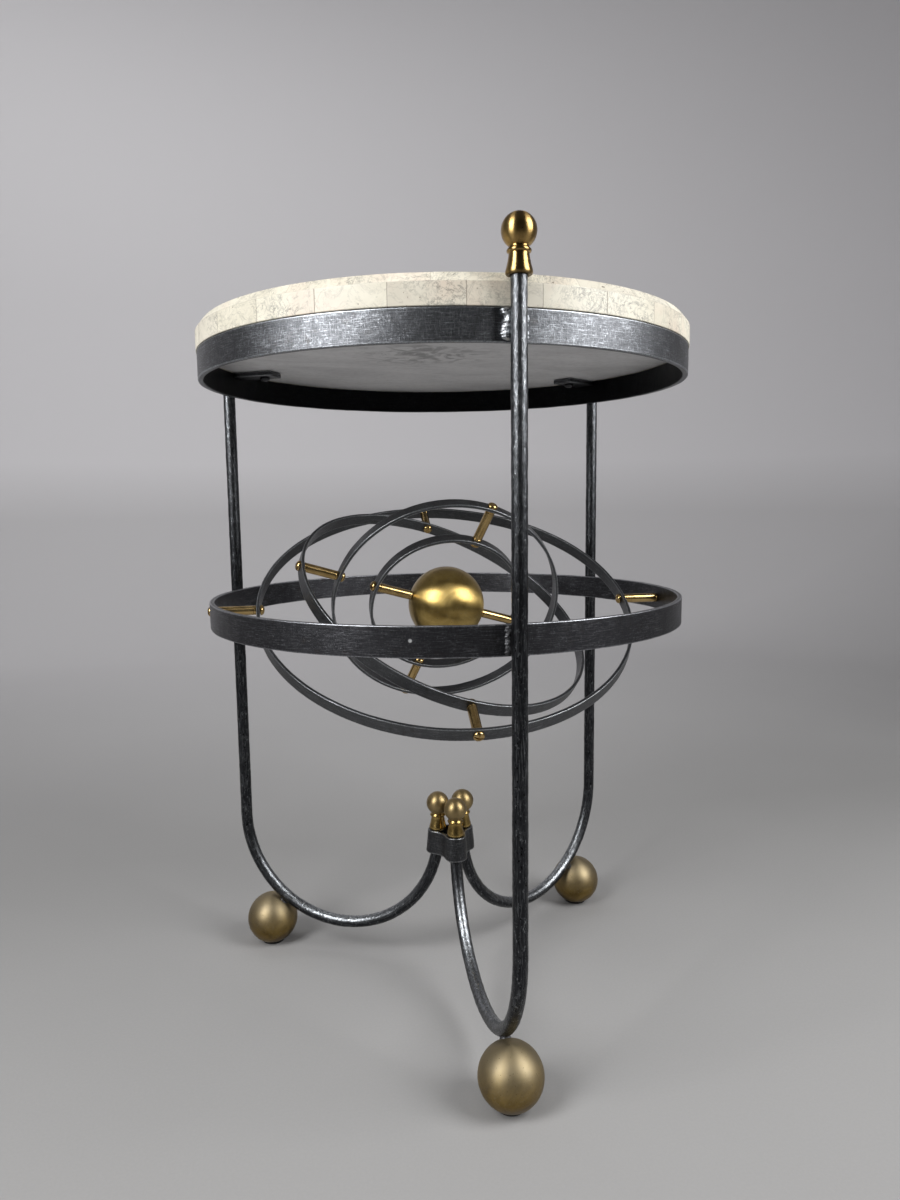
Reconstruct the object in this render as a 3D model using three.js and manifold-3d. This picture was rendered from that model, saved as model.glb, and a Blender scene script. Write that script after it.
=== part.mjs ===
// A three-legged occasional table with a working ring orrery hung inside its iron frame.
//
// Millimetres, +Z up. The feet stand on Z = 0, and the origin is the middle of the object's
// footprint, so the table's own axis lies a little behind it. The front leg points along -Y.
//
// The orrery is a nest of four flat hoops round a brass globe. Each hoop turns on two pivots in
// the next one out, and every pivot axis passes through the one common centre. A pivot is a brass
// spacer held by a screw in the outer hoop, and a second screw in the spacer's inner end on
// which the inner hoop turns.

import * as THREE from 'three';
import { mergeVertices } from 'three/addons/utils/BufferGeometryUtils.js';
import Module from 'manifold-3d';

const wasm = await Module();
wasm.setup();

// ------------------------------------------------------------------------ driving dimensions

const INCH = 25.4;
const GAP = 0.3; // left between pieces that touch on the real table

// The stone top, a veneer cup over a core board
const STONE_R = 240.7;
const STONE_THICKNESS = INCH;
const STONE_BEVEL_WIDTH = 6.2;
const STONE_BEVEL_HEIGHT = 7.8;
const VENEER = 6;

// Flat bar rings of the frame, 1 in wide
const RING_HEIGHT = INCH;
const TOP_RING_R = 240;
const TOP_RING_WALL = 5;
const TOP_RING_UPPER_Z = 654.5;
const MIDDLE_RING_R = 238.8;
const MIDDLE_RING_WALL = 4.5;
const ORRERY_Z = 406; // middle of the middle ring, and the common centre of every pivot

// Legs of 1/2 in round bar: straight down, round a half circle and up to the hub
const LEG_AZIMUTHS = { front: -90, right: 30, left: 150 };
const ROD_R = INCH / 4;
const ROD_CIRCLE_R = 248;
const ROD_TOP_Z = 675;
const BEND_LOWEST_Z = 35.5; // of the bar's centre line
const HUB_CIRCLE_R = 16;
const HUB_X = 3.3; // the hub sits a little to the right, as the hand-bent legs leave it

// Brass ball feet, 2 1/4 in, each cut flat underneath over a thin pad
const FOOT_R = INCH * 1.125;
const PAD_R = 12;
const PAD_THICKNESS = 3;

// Hub collar: a 1 in strap wrapped round the three rod ends, which spread a little downwards
const COLLAR_TOP_Z = 158.5;
const COLLAR_HEIGHT = INCH;
const COLLAR_LOBE_R = 10.9;
const COLLAR_WEB_R = 15.5; // how far the dished webs stay from the hub's middle
const COLLAR_WALL = 3.2;
const COLLAR_FLARE = 0.09;

// Finials, each with a socket for its rod end. Those on the hub are a size smaller.
const FINIAL_BALL_R = 13.2;
const FINIAL_BALL_Z = 31;
const HUB_FINIAL_SCALE = 0.92;
const FINIAL_SOCKET_DEPTH = 8;

// Tabs that hold the top down
const TAB_WIDTH = INCH;
const TAB_THICKNESS = 5;
const TAB_INNER_R = 190;
const TAB_SCREW_R = 203;

// Orrery hoops of 1/2 x 1/8 in flat bar, from the outermost in: radius to the bar's middle
const HOOP_WIDTH = INCH / 2;
const HOOP_WALL = INCH / 8;
const HOOPS = [
  { name: 'outer', radius: 193.2, sides: 56 },
  { name: 'second', radius: 157.2, sides: 52 },
  { name: 'third', radius: 118.1, sides: 44 },
  { name: 'inner', radius: 79.2, sides: 36 },
];
const GLOBE_R = 39.6;
const GLOBE_WALL = 3;

// Pivots
const SPACER_R = 4.75;
const SHANK_R = 2.5;
const HOLE_R = SHANK_R + GAP;
const SCREW_BITE = 8; // how far a screw runs into its spacer
const HEAD_R = 5.25;
const HEAD_HEIGHT = 4.2;

// How the hoops hang at rest, in degrees: the first pivot's heading, then each turn on the last
const HEADING = -4;
const OUTER_TURN = 28.8;
const SECOND_TURN = 19.2;
const THIRD_TURN = 88;
const INNER_TURN = 1.3;

// ---------------------------------------------------------------------------- derived places

// The front finial reaches furthest forward, and the stone furthest back
const AXIS_Y = (ROD_CIRCLE_R + FINIAL_BALL_R - STONE_R) / 2;
const STONE_BOTTOM_Z = TOP_RING_UPPER_Z + GAP;
const STONE_TOP_Z = STONE_BOTTOM_Z + STONE_THICKNESS;
const FOOT_BASE_Z = PAD_THICKNESS + GAP;

// How finely each kind of round surface is faceted
const RING_SIDES = 64;
const ROD_SIDES = 10;
const ROD_STEPS = 46;
const BALL_SIDES = 18;
const SMALL_SIDES = 10;

// --------------------------------------------------------------------------------- materials

const metal = (color, roughness) => new THREE.MeshStandardMaterial({ color, roughness, metalness: 1 });
const iron = metal(0x4a4b4d, 0.5);
const brass = metal(0x9a7b3c, 0.35);
const polishedBrass = metal(0xb08d4a, 0.22);
const stone = new THREE.MeshStandardMaterial({ color: 0xdcd3bf, roughness: 0.35, metalness: 0 });
const board = new THREE.MeshStandardMaterial({ color: 0x8b8a88, roughness: 0.6, metalness: 0 });
const rubber = new THREE.MeshStandardMaterial({ color: 0x161616, roughness: 0.9, metalness: 0 });

// ------------------------------------------------------------------------------ shape helpers

const radians = THREE.MathUtils.degToRad;

// A solid of revolution about Z from [radius, z] points. The outline runs up on its outside.
function lathe(outline, sides) {
  const points = outline.map(([radius, z]) => new THREE.Vector2(radius, z));
  return new THREE.LatheGeometry(points, sides).rotateX(Math.PI / 2);
}

// Points along an arc as [x, y], the last one left out unless it is asked for
function arc(centreX, centreY, radius, from, to, steps, withLast = false) {
  const count = withLast ? steps + 1 : steps;
  return Array.from({ length: count }, (_, i) => {
    const angle = from + ((to - from) * i) / steps;
    return [centreX + radius * Math.cos(angle), centreY + radius * Math.sin(angle)];
  });
}

function polygon(points) {
  return new THREE.Shape(points.map(([x, y]) => new THREE.Vector2(x, y)));
}

// The flats of a faceted ring lie a little nearer its axis than its corners
function flatRadius(radius, sides) {
  return radius * Math.cos(Math.PI / sides);
}

function toSolid(geometry) {
  const bare = geometry.clone();
  bare.deleteAttribute('normal');
  bare.deleteAttribute('uv');
  const merged = mergeVertices(bare);
  const corners = merged.index.array;
  const triangles = [];
  for (let i = 0; i < corners.length; i += 3) {
    const [a, b, c] = corners.slice(i, i + 3);
    if (a !== b && b !== c && c !== a) {
      triangles.push(a, b, c);
    }
  }
  return new wasm.Manifold(new wasm.Mesh({
    numProp: 3,
    vertProperties: new Float32Array(merged.attributes.position.array),
    triVerts: new Uint32Array(triangles),
  }));
}

function toGeometry(solid) {
  const { vertProperties, triVerts } = solid.getMesh();
  const geometry = new THREE.BufferGeometry();
  geometry.setAttribute('position', new THREE.BufferAttribute(vertProperties, 3));
  geometry.setIndex(new THREE.BufferAttribute(triVerts, 1));
  geometry.computeVertexNormals();
  return geometry;
}

function cut(geometry, tools) {
  const solid = tools.reduce((left, tool) => left.subtract(toSolid(tool)), toSolid(geometry));
  return toGeometry(solid);
}

// A round bar on the Z axis
function bar(radius, fromZ, toZ, sides) {
  return lathe([[0, fromZ], [radius, fromZ], [radius, toZ], [0, toZ]], sides);
}

// ------------------------------------------------------------------------- placing the pieces

const orreryTable = new THREE.Group();
const frame = new THREE.Group();
frame.position.y = AXIS_Y;
orreryTable.add(frame);

function addPiece(parent, name, geometry, material) {
  const mesh = new THREE.Mesh(geometry, material);
  mesh.name = name;
  parent.add(mesh);
  return mesh;
}

// Adds a piece at a heading about Z, with its own axis through a point [x, y]
function addAt(name, geometry, material, [x, y], azimuth, z = 0) {
  const mesh = addPiece(frame, name, geometry, material);
  mesh.rotation.z = radians(azimuth);
  mesh.position.set(x, y, z);
}

function polar(radius, azimuth) {
  return [radius * Math.cos(radians(azimuth)), radius * Math.sin(radians(azimuth))];
}

// ----------------------------------------------------------------------------------- the legs

// Where one leg runs: from its rod on the outer circle to its lobe of the hub
function legLayout(azimuth) {
  const rod = polar(ROD_CIRCLE_R, azimuth);
  const [lobeX, lobeY] = polar(HUB_CIRCLE_R, azimuth);
  const lobe = [lobeX + HUB_X, lobeY];
  const spanX = rod[0] - lobe[0];
  const spanY = rod[1] - lobe[1];
  const bendR = Math.hypot(spanX, spanY) / 2;
  const bendZ = BEND_LOWEST_Z + bendR;
  // The ball foot touches the outside of the bend
  const reach = bendR + ROD_R + GAP + FOOT_R;
  const footX = bendR + Math.sqrt(reach ** 2 - (bendZ - FOOT_R) ** 2);
  const heading = THREE.MathUtils.radToDeg(Math.atan2(spanY, spanX));
  const [footOutX, footOutY] = polar(footX, heading);
  const foot = [lobe[0] + footOutX, lobe[1] + footOutY];
  return { rod, lobe, foot, bendR, bendZ, heading };
}

// Down the outside, round the half-circle bend and up the hub, with X = 0 on the hub's lobe
class LegCurve extends THREE.Curve {
  constructor({ bendR, bendZ }) {
    super();
    this.bendR = bendR;
    this.bendZ = bendZ;
    this.drop = ROD_TOP_Z + FINIAL_SOCKET_DEPTH - GAP - bendZ;
    this.bend = Math.PI * bendR;
    this.rise = COLLAR_TOP_Z + FINIAL_SOCKET_DEPTH - bendZ;
  }

  getPoint(t, target = new THREE.Vector3()) {
    const along = t * (this.drop + this.bend + this.rise);
    if (along < this.drop) {
      return target.set(2 * this.bendR, 0, this.bendZ + this.drop - along);
    }
    if (along < this.drop + this.bend) {
      const angle = (along - this.drop) / this.bendR;
      const x = this.bendR * (1 + Math.cos(angle));
      return target.set(x, 0, this.bendZ - this.bendR * Math.sin(angle));
    }
    return target.set(0, 0, this.bendZ + along - this.drop - this.bend);
  }
}

function legGeometry(layout, radius) {
  const section = polygon(arc(0, 0, radius, 0, 2 * Math.PI, ROD_SIDES));
  return new THREE.ExtrudeGeometry(section, {
    steps: ROD_STEPS,
    extrudePath: new LegCurve(layout),
  });
}

const legs = Object.entries(LEG_AZIMUTHS).map(([side, azimuth]) => (
  { side, azimuth, ...legLayout(azimuth) }
));

// --------------------------------------------------------------------------------- the hub

// Three lobes round the rod ends joined by dished webs. A positive inset shrinks the outline.
function collarOutline(inset) {
  const lobeR = COLLAR_LOBE_R - inset;
  const webR = (HUB_CIRCLE_R ** 2 + COLLAR_WEB_R ** 2 - HUB_CIRCLE_R * COLLAR_WEB_R
    - COLLAR_LOBE_R ** 2) / (2 * COLLAR_LOBE_R + HUB_CIRCLE_R - 2 * COLLAR_WEB_R);
  const webReach = COLLAR_WEB_R + webR;
  const points = [];
  for (const { azimuth } of legs) {
    const lobe = radians(azimuth);
    const web = lobe + Math.PI / 3;
    const lobeX = HUB_CIRCLE_R * Math.cos(lobe);
    const lobeY = HUB_CIRCLE_R * Math.sin(lobe);
    const webX = webReach * Math.cos(web);
    const webY = webReach * Math.sin(web);
    const spread = Math.atan2(webY - lobeY, webX - lobeX) - lobe;
    const half = ((spread % (2 * Math.PI)) + 2 * Math.PI) % (2 * Math.PI);
    points.push(...arc(lobeX, lobeY, lobeR, lobe - half, lobe + half, 8));
    const webStart = lobe + half + Math.PI;
    const webEnd = 2 * web + Math.PI - (lobe + half);
    points.push(...arc(webX, webY, webR + inset, webStart, webEnd, 4));
  }
  return points;
}

function collarGeometry() {
  const strap = polygon(collarOutline(0));
  strap.holes.push(polygon(collarOutline(COLLAR_WALL)));
  const geometry = new THREE.ExtrudeGeometry(strap, { depth: COLLAR_HEIGHT, bevelEnabled: false });
  const { position } = geometry.attributes;
  for (let i = 0; i < position.count; i += 1) {
    const spread = 1 + COLLAR_FLARE * (1 - position.getZ(i) / COLLAR_HEIGHT);
    position.setXY(i, position.getX(i) * spread, position.getY(i) * spread);
  }
  geometry.translate(HUB_X, 0, COLLAR_TOP_Z - COLLAR_HEIGHT);
  const rods = legs.map((leg) => (
    legGeometry(leg, ROD_R + GAP)
      .rotateZ(radians(leg.heading))
      .translate(leg.lobe[0], leg.lobe[1], 0)
  ));
  return cut(geometry, rods);
}

// ---------------------------------------------------------------------------------- finials

// A flared base, a collar bead and a ball, on Z = 0, with a socket underneath
function finialGeometry(scale) {
  const socketR = ROD_R + GAP;
  const beadTopZ = 20;
  const ballFrom = Math.asin((beadTopZ - FINIAL_BALL_Z) / FINIAL_BALL_R);
  const outside = [
    [9.2, 0],
    [10.2, 2.2],
    [7.6, 15.3],
    [9.1, 17],
    ...arc(0, FINIAL_BALL_Z, FINIAL_BALL_R, ballFrom, Math.PI / 2, 6),
    [0, FINIAL_BALL_Z + FINIAL_BALL_R],
  ];
  return lathe([
    [0, FINIAL_SOCKET_DEPTH],
    [socketR, FINIAL_SOCKET_DEPTH],
    [socketR, 0],
    ...outside.map(([radius, z]) => [scale * radius, scale * z]),
  ], SMALL_SIDES + 2);
}

// ------------------------------------------------------------------------------------- feet

function footGeometry() {
  const cutAngle = Math.asin((FOOT_BASE_Z - FOOT_R) / FOOT_R);
  return lathe([
    [0, FOOT_BASE_Z],
    ...arc(0, FOOT_R, FOOT_R, cutAngle, Math.PI / 2, 8),
    [0, 2 * FOOT_R],
  ], BALL_SIDES);
}

// ------------------------------------------------------------------------------------ screws

// A slotted dome-head screw on the Z axis, its head above Z = 0 and its shank below
function screwGeometry(shankLength) {
  const rimHeight = 0.8;
  const domeHeight = HEAD_HEIGHT - rimHeight;
  const dome = arc(0, 0, 1, 0, Math.PI / 2, 3)
    .map(([x, y]) => [HEAD_R * x, rimHeight + domeHeight * y]);
  const blank = lathe([
    [0, -shankLength],
    [SHANK_R, -shankLength],
    [SHANK_R, 0],
    [HEAD_R, 0],
    ...dome,
    [0, HEAD_HEIGHT],
  ], SMALL_SIDES);
  const slotWidth = 1.4;
  const slotDepth = 1.7;
  const slot = new THREE.BoxGeometry(3 * HEAD_R, slotWidth, 2 * slotDepth);
  slot.translate(0, 0, HEAD_HEIGHT);
  return cut(blank, [slot]);
}

// ------------------------------------------------------------------------------- ring shapes

// A flat bar hoop round Z, with pivot holes where `holeAzimuths` says, each on a flat facet
function hoopGeometry(outerR, wall, width, sides, holeAzimuths) {
  const innerR = outerR - wall;
  const half = width / 2;
  const ring = lathe([
    [innerR, -half],
    [outerR, -half],
    [outerR, half],
    [innerR, half],
    [innerR, -half],
  ], sides).rotateZ(Math.PI / sides);
  const drills = holeAzimuths.map((azimuth) => (
    bar(HOLE_R, innerR - wall, outerR + wall, SMALL_SIDES)
      .rotateY(Math.PI / 2)
      .rotateZ(radians(azimuth))
  ));
  return cut(ring, drills);
}

// ----------------------------------------------------------------------------- the pivot pair

// Adds the two like ends of a pivot axis to `group`. The axis heads along `azimuth` in the
// group's X-Y plane. `outer` and `inner` are the rings that it joins, each with the radii of
// its flats; a missing wall on `inner` means that an axle takes the inner screw's place.
function addPivot(group, name, azimuth, outer, inner) {
  const spacerFrom = inner.outerFlat + GAP;
  const spacerTo = outer.innerFlat - GAP;
  const outerHeadAt = outer.outerFlat + GAP;
  const outerShank = outerHeadAt - spacerTo + SCREW_BITE;
  for (const [end, turn] of [['a', azimuth], ['b', azimuth + 180]]) {
    const place = (mesh) => {
      mesh.rotation.z = radians(turn);
    };
    const spacer = lathe([
      [HOLE_R, spacerFrom],
      [SPACER_R, spacerFrom],
      [SPACER_R, spacerTo],
      [HOLE_R, spacerTo],
      [HOLE_R, spacerFrom],
    ], SMALL_SIDES).rotateY(Math.PI / 2);
    place(addPiece(group, `${name}_spacer_${end}`, spacer, polishedBrass));

    const outerScrew = screwGeometry(outerShank)
      .rotateY(Math.PI / 2)
      .translate(outerHeadAt, 0, 0);
    place(addPiece(group, `${name}_outer_screw_${end}`, outerScrew, polishedBrass));

    if (inner.innerFlat !== undefined) {
      const innerHeadAt = inner.innerFlat - GAP;
      const innerShank = spacerFrom - innerHeadAt + SCREW_BITE;
      const innerScrew = screwGeometry(innerShank)
        .rotateY(-Math.PI / 2)
        .translate(innerHeadAt, 0, 0);
      place(addPiece(group, `${name}_inner_screw_${end}`, innerScrew, polishedBrass));
    }
  }
}

// ================================================================================= the table

// The stone veneer is a cup turned upside down over the core board
const coreR = STONE_R - VENEER - GAP;
const coreTopZ = STONE_TOP_Z - VENEER - GAP;
addPiece(frame, 'stone_top', lathe([
  [0, STONE_TOP_Z - VENEER],
  [STONE_R - VENEER, STONE_TOP_Z - VENEER],
  [STONE_R - VENEER, STONE_BOTTOM_Z],
  [STONE_R, STONE_BOTTOM_Z],
  [STONE_R, STONE_TOP_Z - STONE_BEVEL_HEIGHT],
  [STONE_R - STONE_BEVEL_WIDTH, STONE_TOP_Z],
  [0, STONE_TOP_Z],
], RING_SIDES), stone);

const tabScrewBite = 12;
const tabScrewHoles = legs.map(({ azimuth }) => (
  bar(HOLE_R, STONE_BOTTOM_Z - 1, STONE_BOTTOM_Z + tabScrewBite + 1, SMALL_SIDES)
    .translate(TAB_SCREW_R, 0, 0)
    .rotateZ(radians(azimuth))
));
const coreBlank = bar(coreR, STONE_BOTTOM_Z, coreTopZ, RING_SIDES);
addPiece(frame, 'core_board', cut(coreBlank, tabScrewHoles), board);

const topRing = hoopGeometry(TOP_RING_R, TOP_RING_WALL, RING_HEIGHT, RING_SIDES, []);
topRing.translate(0, 0, TOP_RING_UPPER_Z - RING_HEIGHT / 2);
addPiece(frame, 'top_ring', topRing, iron);

const tabTopZ = STONE_BOTTOM_Z - GAP;
const tabOuterR = flatRadius(TOP_RING_R - TOP_RING_WALL, RING_SIDES) - 1;
const tabScrewShank = TAB_THICKNESS + 2 * GAP + tabScrewBite;

for (const leg of legs) {
  const { side, azimuth, heading, rod, lobe, foot } = leg;
  addAt(`leg_${side}`, legGeometry(leg, ROD_R), iron, lobe, heading);
  addAt(`foot_ball_${side}`, footGeometry(), brass, foot, heading);
  addAt(`foot_pad_${side}`, bar(PAD_R, 0, PAD_THICKNESS, BALL_SIDES), rubber, foot, heading);
  addAt(`rod_finial_${side}`, finialGeometry(1), brass, rod, azimuth, ROD_TOP_Z);
  const hubFinial = finialGeometry(HUB_FINIAL_SCALE);
  addAt(`hub_finial_${side}`, hubFinial, brass, lobe, azimuth, COLLAR_TOP_Z + GAP);

  const tabLength = tabOuterR - TAB_INNER_R;
  const tab = new THREE.BoxGeometry(tabLength, TAB_WIDTH, TAB_THICKNESS);
  tab.translate(TAB_INNER_R + tabLength / 2, 0, tabTopZ - TAB_THICKNESS / 2);
  const tabHole = bar(HOLE_R, tabTopZ - 2 * TAB_THICKNESS, tabTopZ + TAB_THICKNESS, SMALL_SIDES);
  tabHole.translate(TAB_SCREW_R, 0, 0);
  addAt(`top_tab_${side}`, cut(tab, [tabHole]), iron, [0, 0], azimuth);
  const tabScrew = screwGeometry(tabScrewShank).rotateX(Math.PI);
  const tabHeadZ = tabTopZ - TAB_THICKNESS - GAP;
  addAt(`tab_screw_${side}`, tabScrew, iron, polar(TAB_SCREW_R, azimuth), azimuth, tabHeadZ);
}

addPiece(frame, 'hub_collar', collarGeometry(), iron);

// =============================================================================== the orrery

// The middle ring is level and carries the whole nest
const orrery = new THREE.Group();
orrery.position.z = ORRERY_Z;
orrery.rotation.z = radians(HEADING);
frame.add(orrery);

const middleRing = hoopGeometry(MIDDLE_RING_R, MIDDLE_RING_WALL, RING_HEIGHT, RING_SIDES, [0, 180]);
addPiece(orrery, 'middle_ring', middleRing, iron);

// Each hoop's group hangs in the one before and turns about the pivot axis between them
const turns = [OUTER_TURN, SECOND_TURN, THIRD_TURN, INNER_TURN];
let carrier = {
  group: orrery,
  outerFlat: flatRadius(MIDDLE_RING_R, RING_SIDES),
  innerFlat: flatRadius(MIDDLE_RING_R - MIDDLE_RING_WALL, RING_SIDES),
};
HOOPS.forEach(({ name, radius, sides }, i) => {
  const pivotAlongX = i % 2 === 0;
  const group = new THREE.Group();
  if (pivotAlongX) {
    group.rotation.x = radians(turns[i]);
  } else {
    group.rotation.y = radians(turns[i]);
  }
  carrier.group.add(group);
  const outerR = radius + HOOP_WALL / 2;
  const hoop = hoopGeometry(outerR, HOOP_WALL, HOOP_WIDTH, sides, [0, 90, 180, 270]);
  addPiece(group, `${name}_hoop`, hoop, iron);
  const ring = {
    group,
    outerFlat: flatRadius(outerR, sides),
    innerFlat: flatRadius(outerR - HOOP_WALL, sides),
  };
  addPivot(carrier.group, `${name}_hoop`, pivotAlongX ? 0 : 90, carrier, ring);
  carrier = ring;
});

// The globe is a hollow ball that turns on an axle between the innermost pair of spacers
const holeZ = (radius) => Math.sqrt(radius ** 2 - HOLE_R ** 2);
const holeAngle = (radius) => Math.atan2(holeZ(radius), HOLE_R);
const globeInnerR = GLOBE_R - GLOBE_WALL;
const globe = lathe([
  ...arc(0, 0, GLOBE_R, -holeAngle(GLOBE_R), holeAngle(GLOBE_R), 11, true),
  ...arc(0, 0, globeInnerR, holeAngle(globeInnerR), -holeAngle(globeInnerR), 7, true),
  [HOLE_R, -holeZ(GLOBE_R)],
], BALL_SIDES).rotateY(Math.PI / 2);
addPiece(carrier.group, 'globe', globe, brass);
addPivot(carrier.group, 'globe', 0, carrier, { outerFlat: GLOBE_R });
const axleHalf = GLOBE_R + SCREW_BITE;
const axle = bar(SHANK_R, -axleHalf, axleHalf, SMALL_SIDES).rotateY(Math.PI / 2);
addPiece(carrier.group, 'globe_axle', axle, polishedBrass);

export default orreryTable;
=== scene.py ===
"""The looks of the orrery table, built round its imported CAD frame.

Shapes are worked out in millimetres in the row frame (+Z up, front leg towards -Y) and scaled to
metres as each mesh is made. Every visible piece is a fine mesh. All but the welds stand for a node.
"""

import random
from math import acos, asin, atan2, ceil, cos, degrees, hypot, pi, radians, sin, sqrt, tan

import bpy
from mathutils import Matrix, Vector, noise


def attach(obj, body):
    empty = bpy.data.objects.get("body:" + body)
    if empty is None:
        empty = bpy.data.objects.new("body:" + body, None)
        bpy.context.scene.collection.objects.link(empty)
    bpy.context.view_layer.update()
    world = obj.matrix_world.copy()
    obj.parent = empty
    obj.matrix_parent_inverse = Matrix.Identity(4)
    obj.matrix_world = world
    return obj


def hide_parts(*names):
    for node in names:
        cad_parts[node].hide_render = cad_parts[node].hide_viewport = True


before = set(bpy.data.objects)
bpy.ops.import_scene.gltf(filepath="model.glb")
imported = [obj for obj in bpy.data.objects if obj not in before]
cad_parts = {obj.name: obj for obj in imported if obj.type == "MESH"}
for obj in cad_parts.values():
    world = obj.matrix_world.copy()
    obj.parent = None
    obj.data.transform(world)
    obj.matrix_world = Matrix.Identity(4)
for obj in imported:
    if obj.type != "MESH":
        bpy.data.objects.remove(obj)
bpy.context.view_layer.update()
SCENE = bpy.context.scene

MM = 0.001
INCH = 25.4
RANDOM = random.Random(7)

# ------------ the table

AXIS_Y = 10.25
AXIS = Matrix.Translation((0, AXIS_Y, 0))

STONE_R = 240.7
STONE_BOTTOM_Z = 654.8
STONE_TOP_Z = 680.2
STONE_BEVEL_WIDTH = 6.2
STONE_BEVEL_HEIGHT = 7.8
VENEER = 6

RING_HEIGHT = INCH
TOP_RING_R = 240
TOP_RING_WALL = 5
TOP_RING_UPPER_Z = 654.5
MIDDLE_RING_R = 238.8
MIDDLE_RING_WALL = 4.5
ORRERY_Z = 406

LEG_AZIMUTHS = {"front": -90, "right": 30, "left": 150}
ROD_R = 6.35
ROD_CIRCLE_R = 248
ROD_TOP_Z = 675
BEND_LOWEST_Z = 35.5
HUB_CIRCLE_R = 16
HUB_X = 3.3
FOOT_R = 28.575
PAD_R = 12
PAD_THICKNESS = 3
GAP = 0.3
EDGE_LOOP = 0.3

COLLAR_TOP_Z = 158.5
COLLAR_HEIGHT = INCH
COLLAR_LOBE_R = 10.9
COLLAR_WEB_R = 15.5
COLLAR_WALL = 3.2
COLLAR_FLARE = 0.09

FINIAL_BALL_R = 13.2
FINIAL_BALL_Z = 31
HUB_FINIAL_SCALE = 0.92
FINIAL_SOCKET_DEPTH = 8

TAB_THICKNESS = 5
TAB_INNER_R = 190
TAB_SCREW_R = 203
TAB_SCREW_BITE = 12

HOOP_WIDTH = INCH / 2
HOOP_WALL = INCH / 8
# Name, middle radius, number of sides in the CAD, and turn about its pivots, from the outside in.
HOOPS = (
    ("outer", 193.2, 56, 28.8),
    ("second", 157.2, 52, 19.2),
    ("third", 118.1, 44, 88),
    ("inner", 79.2, 36, 1.3),
)
GLOBE_R = 39.6
GLOBE_WALL = 3
SPACER_R = 4.75
SHANK_R = 2.5
HOLE_R = 2.8
SCREW_BITE = 8
HEAD_R = 5.25
HEAD_HEIGHT = 4.2
SLOT_DEPTH = 1.7
# The outer hoop's pivots, from +X.
HEADING = -4

# In metres, as the materials measure.
CHIP = (-0.0807, -0.2145, 0.4073)
STAIN = (-0.025, -0.035, STONE_BOTTOM_Z * MM)
BLOCKS = 26
SEAM_AZIMUTH = -98.8
BEVEL_STAGGER = 0.45
FIELD_R = 0.1778
FIELD_BLOCK = 0.0635
JOINT_LINE = (0.00012, 0.00045)


# ------------ mesh helpers


def turned(axis, angle):
    """A turn about an axis, in degrees."""
    return Matrix.Rotation(radians(angle), 4, axis)


def circle(radius, z, count):
    angles = [2 * pi * i / count for i in range(count)]
    return [Vector((radius * cos(a), radius * sin(a), z)) for a in angles]


def polar(radius, azimuth, z=0.0):
    angle = radians(azimuth)
    return Vector((radius * cos(angle), radius * sin(angle), z))


def ramp(value, low, high):
    """0 at low and before, 1 at high and beyond."""
    return max(0.0, min(1.0, (value - low) / (high - low)))


def arc(centre, radius, start, end, steps):
    """Points of an arc in a plane, both ends included, with angles in degrees."""
    angles = [radians(start + (end - start) * i / steps) for i in range(steps + 1)]
    return [(centre[0] + radius * cos(a), centre[1] + radius * sin(a)) for a in angles]


def fillet(before, here, after, radius, steps):
    """(x, y, 1) points that round a corner, within 0.45 of each side."""
    back = before - here
    on = after - here
    reach = min(radius / tan(back.angle(on) / 2), 0.45 * back.length, 0.45 * on.length)
    start = here + back.normalized() * reach
    end = here + on.normalized() * reach
    points = []
    for k in range(steps + 1):
        t = k / steps
        point = start * (1 - t) ** 2 + here * (2 * t * (1 - t)) + end * t ** 2
        points.append((point.x, point.y, 1.0))
    return points


def straight(a, b, longest):
    """(x, y, 0) points between two ends, with one close to each end so that shading stays flat."""
    length = (b - a).length
    pieces = max(1, ceil(length / longest))
    shares = [k / pieces for k in range(1, pieces)]
    if length > 4 * EDGE_LOOP:
        inner = [t for t in shares if EDGE_LOOP + 0.1 < t * length < length - EDGE_LOOP - 0.1]
        shares = [EDGE_LOOP / length, *inner, 1 - EDGE_LOOP / length]
    between = [a.lerp(b, t) for t in shares]
    return [(point.x, point.y, 0.0) for point in between]


def rounded(corners, closed=True, steps=3, longest=4.0):
    """An outline of (x, y, edge) points from (x, y, fillet radius) corners.

    edge is 1 on a fillet and 0 elsewhere. Straight stretches are split to `longest`.
    """
    count = len(corners)
    groups = []
    for i, (x, y, radius) in enumerate(corners):
        if radius <= 0 or (not closed and i in (0, count - 1)):
            groups.append([(x, y, 0.0)])
            continue
        before = Vector(corners[i - 1][:2])
        after = Vector(corners[(i + 1) % count][:2])
        groups.append(fillet(before, Vector((x, y)), after, radius, steps))
    points = []
    for i, group in enumerate(groups):
        points += group
        if closed or i < count - 1:
            following = groups[(i + 1) % count]
            points += straight(Vector(group[-1][:2]), Vector(following[0][:2]), longest)
    return points


def add_mark(mesh, key, rows, values):
    """Keeps a named number at each point, for the materials."""
    flat = []
    for row, value in zip(rows, values):
        flat += list(value) if isinstance(value, (list, tuple)) else [value] * len(row)
    mesh.attributes.new(key, "FLOAT", "POINT").data.foreach_set("value", flat)


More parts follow.
